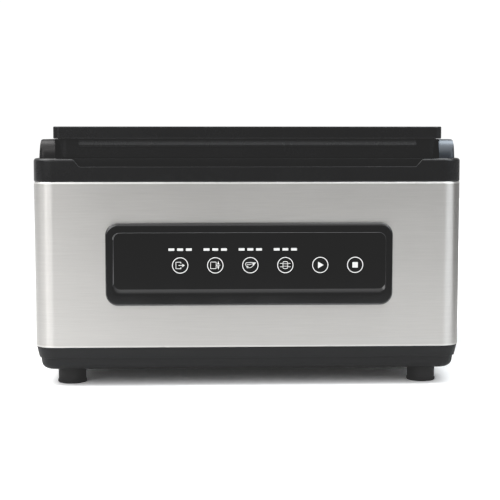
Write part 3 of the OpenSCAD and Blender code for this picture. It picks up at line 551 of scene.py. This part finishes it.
def panel_bezel():
    """Slope, flat border and inner ledge, all uneven round the panel, and a floor with holes."""
    low, high = box_mm("panel_bezel")
    outer = Frame(low.x, high.x, low.z, high.z, 10.5)
    rim = Frame(low.x + 1.2, high.x - 1.2, low.z + 0.8, high.z - 3.3, 9)
    crest = Frame(low.x + 5.3, high.x - 5.6, low.z + 8.7, high.z - 7.8, 6.5)
    inner = Frame(low.x + 8.1, high.x - 6.8, low.z + 16.8, high.z - 9.4, 4.5)
    # share of the way from one outline to the next, and height over the shell in mm
    slope = [(0, 0), (0, 1.2), (0.08, 1.6), (0.25, 2.0), (0.5, 2.3), (0.75, 2.45), (1, 2.5)]
    border = [(0.1, 2.5), (0.85, 2.5), (0.96, 2.47)]
    ledge = [(0, 2.46), (0.12, 2.42), (0.24, 2.28), (0.4, 1.98), (0.55, 1.64), (0.7, 1.3),
             (0.83, 1.08), (0.93, 1.02), (1, 1), (1, 0.9)]
    bm = bmesh.new()
    loops = []
    for start, end, profile in ((outer, rim, slope), (rim, crest, border), (crest, inner, ledge)):
        for share, height in profile:
            loops.append(ring_of(bm, start.toward(end, share).points(), FRONT - height))
    for a, b in zip(loops, loops[1:]):
        bridge(bm, a, b)
    holes = [circle((middle(k).x, middle(k).z), KEY_HOLE_R) for k in KEYS]
    lights_low, lights_high = box_mm("level_lights")
    light_w = lights_high.x - lights_low.x - (middle(KEYS[3]).x - middle(KEYS[0]).x) - 2 * LIGHT_PITCH
    size = (light_w + LIGHT_GAP, lights_high.z - lights_low.z + LIGHT_GAP)
    for key in KEYS[:4]:
        for i in (-1, 0, 1):
            holes.append(outline((middle(key).x + i * LIGHT_PITCH, middle("level_lights").z), size, 0.3, 2))
    stamp(bm, inner.points(), holes, FRONT - FLOOR_STAND, FRONT + 1)
    skin = mesh_from("panel_bezel_skin", bm, 50)
    add_piece("panel_bezel_skin", skin, "base", "bezel_black", ["panel_bezel"])


panel_bezel()


# ---------- rounded copies of the main shells ----------

def near(value, target, reach=0.3):
    return abs(value - target) < reach


def on_wall(p, low, high, radius, reach=0.3):
    """True for a point on the upright outer wall of a box whose upright corners are round."""
    qx = abs(p.x - (low.x + high.x) / 2) - (high.x - low.x) / 2 + radius
    qy = abs(p.y - (low.y + high.y) / 2) - (high.y - low.y) / 2 + radius
    gap = math.hypot(max(qx, 0), max(qy, 0)) + min(max(qx, qy), 0) - radius
    return abs(gap) < reach


shell_low, shell_high = box_mm("outer_shell")
deck_low, deck_high = box_mm("top_housing")
pan_low, pan_high = box_mm("base_pan")
lid_low, lid_high = box_mm("lid_frame")
rail_low, rail_high = box_mm("side_rail_right")
# the suction cap's pipe reaches this far below the chamber's floor
CAP_PIPE = 12
tub_floor = box_mm("suction_cap")[0].z + CAP_PIPE
# radii of the upright corners
BODY_R, LID_R = 17, 6
# underside of the lid's plate, which clears the rails
PLATE_Z = rail_high.z + 0.4
# a box round the edges of the step in the deck's front: from the front, from the top, from the middle
STEP_DEPTH, STEP_DROP, STEP_HALF_W = 6.5, 7.2, 145.5
# the base pan: heights of its upper band and of its turned-in edge, and half sizes of its flat bottom
PAN_BAND_H, PAN_EDGE_H = 9.3, 3.3
PAN_BOTTOM_X, PAN_BOTTOM_Y = 160, 147
# the chamber floor's half sizes inside its rounded edge, and its middle
TUB_FLOOR_X, TUB_FLOOR_Y, TUB_MIDDLE_Y = 110, 90, -12.5
# the skirt's front is this near the lid's front, and the window's opening this near the lid's middle
SKIRT_REACH, WINDOW_REACH = 9, 130


def paint_edge_highlights(paint, low, high):
    """Painted highlights: thin light lines along the shell's top and bottom edges, painted into the steel's
    colour instead of polished edges that catch the light.
    """
    height = paint.node("ShaderNodeSeparateXYZ", Vector=paint.coords).outputs["Z"]
    # noise that breaks up the painted highlights a little
    highlight_breakup = paint.noise(0.015, 2.0)
    # painted highlights: a near-white band over the top 1.9 mm and a light grey band over the bottom 1.9 mm
    lines = [
        (high - 1.9, high - 1.2, (0.98, 0.97, 0.95)),
        (low + 1.9, low + 1.1, (0.64, 0.63, 0.61)),
    ]
    for start, end, color in lines:
        line = paint.spread(height, 0.0, 1.0, start * MM, end * MM)
        paint.blend_color(paint.math("MULTIPLY", line, paint.spread(highlight_breakup, 0.85, 1.0)), (*color, 1))


def undercut_groove(bm):
    """Makes the lid's round finger groove deepest near its bottom, where the fingers hook in."""
    skirt, bottom, half_width = lid_low.y + 5.5, lid_low.z + 8.93, 140.1
    # the round groove is less deep than this, and is drawn down to this many times its height
    round_depth, drawn_down, slack = 1.8, 1.12, 0.1
    # new depths, in even steps from the groove's top to its bottom
    depths = [0.05, 0.13, 0.23, 0.36, 0.51, 0.68, 0.86, 1.04, 1.21, 1.36, 0]
    for vert in bm.verts:
        p = vert.co / MM
        in_height = bottom - slack < p.z < PLATE_Z + slack
        if skirt - slack < p.y < skirt + round_depth and in_height and abs(p.x) < half_width:
            share = (PLATE_Z - p.z) / (PLATE_Z - bottom) * (len(depths) - 1)
            step = min(max(int(share), 0), len(depths) - 2)
            depth = depths[step] + (depths[step + 1] - depths[step]) * (share - step)
            if p.y > skirt + slack:
                vert.co.y = (skirt + max(depth, 0)) * MM
            vert.co.z = (PLATE_Z - (PLATE_Z - p.z) * drawn_down) * MM


def bar_springs():
    """A copy of the sealing bar's return springs, with a mesh of its own, riding on the base."""
    piece = add_piece("bar_springs_soft", NODES["bar_springs"].data.copy(), "base", "spring_steel",
                      ["bar_springs"])
    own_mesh(piece)


def on_step(p):
    """The edges of the deck's front step along its top and its front, but not in its inner corners."""
    near_step = p.z > deck_high.z - STEP_DROP and p.y < deck_low.y + STEP_DEPTH and abs(p.x) < STEP_HALF_W
    return near_step and (p.z > deck_high.z - 1 or p.y < deck_low.y + 1)


def any_edge(p):
    return True


# paints highlight lines along the steel's top and bottom edges
paint_edge_highlights(PAINTS["shell_steel"], shell_low.z, shell_high.z)

# the rails have the same shape and the same finish, but get lit and shaded copies of it: the left one is
# painted dark as if in shade, the right one bluish as if lit by a cool light
RAIL_LIT_AND_SHADED_PAINTS = {
    "left": moulded("rail_shaded_left", (0.048, 0.047, 0.047), 0.42, Metallic=1.0),
    "right": moulded("rail_lit_right", (0.136, 0.149, 0.165), 0.42, Metallic=1.0),
}

rounded_copy("outer_shell", "base", "shell_steel", [
    (0.85, 4, lambda p: on_wall(p, shell_low, shell_high, BODY_R)
     and (near(p.z, shell_low.z) or near(p.z, shell_high.z))),
])
rounded_copy("top_housing", "base", "housing_black", [
    (1.0, 4, lambda p: near(p.z, shell_high.z) and on_wall(p, shell_low, shell_high, BODY_R)),
    (2.6, 6, lambda p: near(p.z, deck_high.z) and on_wall(p, deck_low, deck_high, BODY_R)),
    (0.7, 3, on_step),
])
rounded_copy("base_pan", "base", "base_black", [
    (0.4, 2, lambda p: near(p.z, shell_low.z) and on_wall(p, pan_low, pan_high, BODY_R)),
    (0.35, 2, lambda p: near(p.z, shell_low.z - PAN_BAND_H, 1)),
    (2.0, 4, lambda p: p.z < pan_low.z + PAN_EDGE_H
     and (abs(p.x) > PAN_BOTTOM_X or abs(p.y) > PAN_BOTTOM_Y)),
])
rounded_copy("lid_frame", "lid", "housing_black", [
    (0.9, 4, lambda p: on_wall(p, lid_low, lid_high, LID_R) and near(p.z, lid_high.z)),
    (0.8, 4, lambda p: on_wall(p, lid_low, lid_high, LID_R) and near(p.z, PLATE_Z)),
    (0.5, 3, lambda p: p.y < lid_low.y + SKIRT_REACH and p.z < PLATE_Z - 0.5 or near(p.z, lid_low.z)),
    (0.4, 2, lambda p: near(p.z, lid_high.z) and abs(p.x) < WINDOW_REACH),
], reshape=undercut_groove)
# the left rail gets the painted shade copy, the right rail the painted light copy
for side, rail_light_and_shade_paint in RAIL_LIT_AND_SHADED_PAINTS.items():
    # all edges but those at the bottom and in the rear 30 mm
    rounded_copy("side_rail_" + side, "base", "housing_black", [
        (0.6, 3, lambda p: p.z > rail_low.z + 0.5 and p.y < rail_high.y - 30),
    ], paint=rail_light_and_shade_paint)
for place in ("front_left", "front_right", "rear_left", "rear_right"):
    rounded_copy("foot_" + place, "base", "foot_rubber", [(0.5, 3, lambda p: p.z < 1.5)])
for node, body, slot, width in [
    ("power_inlet", "base", "cap_black", 0.5), ("switch_frame", "base", "cap_black", 0.4),
    ("power_rocker", "rocker", "cap_black", 0.2), ("accessory_port", "base", "cap_nickel", 0.4),
    ("hinge_arm_left", "lid", "arm_steel", 0.5), ("hinge_arm_right", "lid", "arm_steel", 0.5),
    ("suction_cap", "base", "cap_nickel", 0.25), ("bar_end_caps", "sealing_bar", "cap_black", 0.8),
    ("lid_gasket", "lid", "gasket_rubber", 2.2), ("lid_retainer", "lid", "retainer_black", 0.6),
    ("backing_strip", "lid", "backing_silicone", 0.6), ("backing_holder", "lid", "bar_aluminium", 0.4),
    ("seal_bar", "sealing_bar", "bar_aluminium", 0.35),
]:
    rounded_copy(node, body, slot, [(width, 3, any_edge)])
rounded_copy("chamber_tub", "base", "tub_steel", [
    (5, 5, lambda p: near(p.z, tub_floor)
     and (abs(p.x) > TUB_FLOOR_X or abs(p.y - TUB_MIDDLE_Y) > TUB_FLOOR_Y)),
])
bar_springs()

# the other CAD pieces keep their shapes
for part in frame["record"]["subparts"]:
    if part["node"] in NODES:
        for held in NODES[part["node"]].material_slots:
            held.material = PAINTS[part["material_slot"]].material


# ---------- floor, light, camera (in metres) ----------

# the floor's brightness for the camera: what it reflects, and an even glow
FLOOR_GAIN, FLOOR_HAZE = 1.1, 0.03
# the room's brightness in reflections, and the plain backdrop's for the camera
AHEAD_LEVEL, OVERHEAD_LEVEL, BEHIND_LEVEL = 0.05, 1.1, 0.6
BACKDROP_LEVEL = 1.05
# the darkest level that is shown
HAZE = 0.0205
# about the middle of the machine, which the front lights face
AIM = (0, 0, 0.12)


def floor():
    """White floor that ends just ahead of the camera's view, so the gloss shows the dark studio beyond."""
    front, back, side = -0.62, 3.0, 2.5
    bm = bmesh.new()
    corners = [(-side, front), (side, front), (side, back), (-side, back)]
    bm.faces.new([bm.verts.new((x, y, 0)) for x, y in corners])
    plane = bpy.data.objects.new("studio_floor", mesh_from("studio_floor", bm))
    bpy.context.scene.collection.objects.link(plane)
    paint = Paint("studio_floor", (0.85, 0.85, 0.85), Roughness=0.9)
    paint.vary_color(paint.noise(0.4, 2.0), 0.99, 1.0)
    # the camera sees a brighter floor than the object does, as the picture is exposed for pure white
    seen = paint.node("ShaderNodeLightPath").outputs["Is Camera Ray"]
    bright = paint.node("ShaderNodeBsdfDiffuse", Color=(FLOOR_GAIN, FLOOR_GAIN, FLOOR_GAIN, 1))
    haze = paint.node("ShaderNodeEmission", Strength=FLOOR_HAZE)
    lifted = paint.node("ShaderNodeAddShader")
    paint.feed(lifted.inputs[0], bright.outputs[0])
    paint.feed(lifted.inputs[1], haze.outputs[0])
    mixed = paint.node("ShaderNodeMixShader")
    paint.feed(mixed.inputs[0], seen)
    paint.feed(mixed.inputs[1], paint.shader.outputs[0])
    paint.feed(mixed.inputs[2], lifted.outputs[0])
    paint.feed(paint.tree.nodes["Material Output"].inputs["Surface"], mixed.outputs[0])
    plane.data.materials.append(paint.material)


def dark_flag():
    """A grey board beyond the right end darkens the last of the steel's corner. The camera can't see it."""
    x, front, back, height = 0.5, -0.2, 0.9, 0.85
    bm = bmesh.new()
    corners = [(x, front, 0), (x, back, 0), (x, back, height), (x, front, height)]
    bm.faces.new([bm.verts.new(corner) for corner in corners])
    board = bpy.data.objects.new("dark_flag", mesh_from("dark_flag", bm))
    bpy.context.scene.collection.objects.link(board)
    paint = Paint("dark_flag", (0.24, 0.24, 0.24), Roughness=0.9)
    paint.vary_color(paint.noise(0.1, 2.0), 0.9, 1.1)
    board.data.materials.append(paint.material)
    board.visible_camera = False


def softbox(name, at, aim, width, height, watts, color=(1, 1, 1)):
    light = bpy.data.lights.new(name, "AREA")
    light.shape = "RECTANGLE"
    light.size, light.size_y = width, height
    light.energy = watts
    light.color = color
    lamp = bpy.data.objects.new(name, light)
    lamp.location = at
    lamp.rotation_mode = "QUATERNION"
    lamp.rotation_quaternion = (Vector(aim) - Vector(at)).to_track_quat("-Z", "Y")
    bpy.context.scene.collection.objects.link(lamp)


def surroundings():
    """The studio: dark ahead at eye level, bright overhead and behind. The camera itself sees plain white."""
    world = bpy.data.worlds.new("studio")
    bpy.context.scene.world = world
    world.use_nodes = True
    world.node_tree.nodes.clear()
    graph = Graph(world.node_tree)
    direction = graph.node("ShaderNodeTexCoord").outputs["Generated"]
    split = graph.node("ShaderNodeSeparateXYZ", Vector=direction)
    overhead = graph.spread(split.outputs["Z"], AHEAD_LEVEL, OVERHEAD_LEVEL, 0.05, 0.45, smooth=True)
    behind = graph.spread(split.outputs["Y"], 0.0, 1.0, 0.2, 0.8, smooth=True)
    level = graph.node("ShaderNodeMix", {"data_type": "FLOAT"})
    # input 0 is the share, and inputs 2 and 3 are the two levels
    for place, value in {0: behind, 2: overhead, 3: BEHIND_LEVEL}.items():
        graph.feed(level.inputs[place], value)
    white = (1, 1, 1, 1)
    room = graph.node("ShaderNodeBackground", Color=white, Strength=level.outputs[0])
    backdrop = graph.node("ShaderNodeBackground", Color=white, Strength=BACKDROP_LEVEL)
    seen = graph.node("ShaderNodeLightPath").outputs["Is Camera Ray"]
    mixed = graph.node("ShaderNodeMixShader")
    for place, value in enumerate((seen, room.outputs[0], backdrop.outputs[0])):
        graph.feed(mixed.inputs[place], value)
    graph.node("ShaderNodeOutputWorld", Surface=mixed.outputs[0])


def camera():
    """The photograph's viewing angle: a little left of the middle, looking slightly down and to the right."""
    data = bpy.data.cameras.new("camera")
    data.sensor_width = 36
    data.lens = 91.86
    data.dof.use_dof = False
    eye = bpy.data.objects.new("camera", data)
    yaw, pitch = math.radians(2.055), math.radians(5.145)
    ahead = Vector((math.sin(yaw) * math.cos(pitch), math.cos(yaw) * math.cos(pitch), -math.sin(pitch)))
    eye.location = (-0.0365, -1.2162, 0.2094)
    eye.rotation_mode = "QUATERNION"
    eye.rotation_quaternion = ahead.to_track_quat("-Z", "Y")
    bpy.context.scene.collection.objects.link(eye)
    bpy.context.scene.camera = eye


def tone():
    """A plain tone curve, but its blacks are gathered just above a level lifted by a white set's haze."""
    view = bpy.context.scene.view_settings
    view.view_transform = "Standard"
    view.look = "None"
    view.use_curve_mapping = True
    view.curve_mapping.initialize()
    curve = view.curve_mapping.curves[3]
    curve.points[0].location = (0, HAZE)
    # a level in the scene, and the level that is shown for it
    for scene_level, shown in ((0.03, HAZE + 0.006), (0.09, 0.085)):
        curve.points.new(scene_level, shown)
    view.curve_mapping.update()


floor()
dark_flag()
surroundings()
softbox("key_light", (-1.12, -1.73, 0.85), AIM, width=1.6, height=1.1, watts=11.3)
softbox("fill_light", (1.6, -1.15, 0.8), AIM, width=1.4, height=1.1, watts=4, color=(0.84, 0.92, 1))
softbox("top_left_light", (-0.85, -0.2, 1.5), (-0.1, 0, 0.1), width=1.1, height=1.4, watts=25)
softbox("top_right_light", (0.85, -0.2, 1.5), (0.1, 0, 0.1), width=1.1, height=1.4, watts=25,
        color=(0.93, 0.97, 1))
camera()
tone()
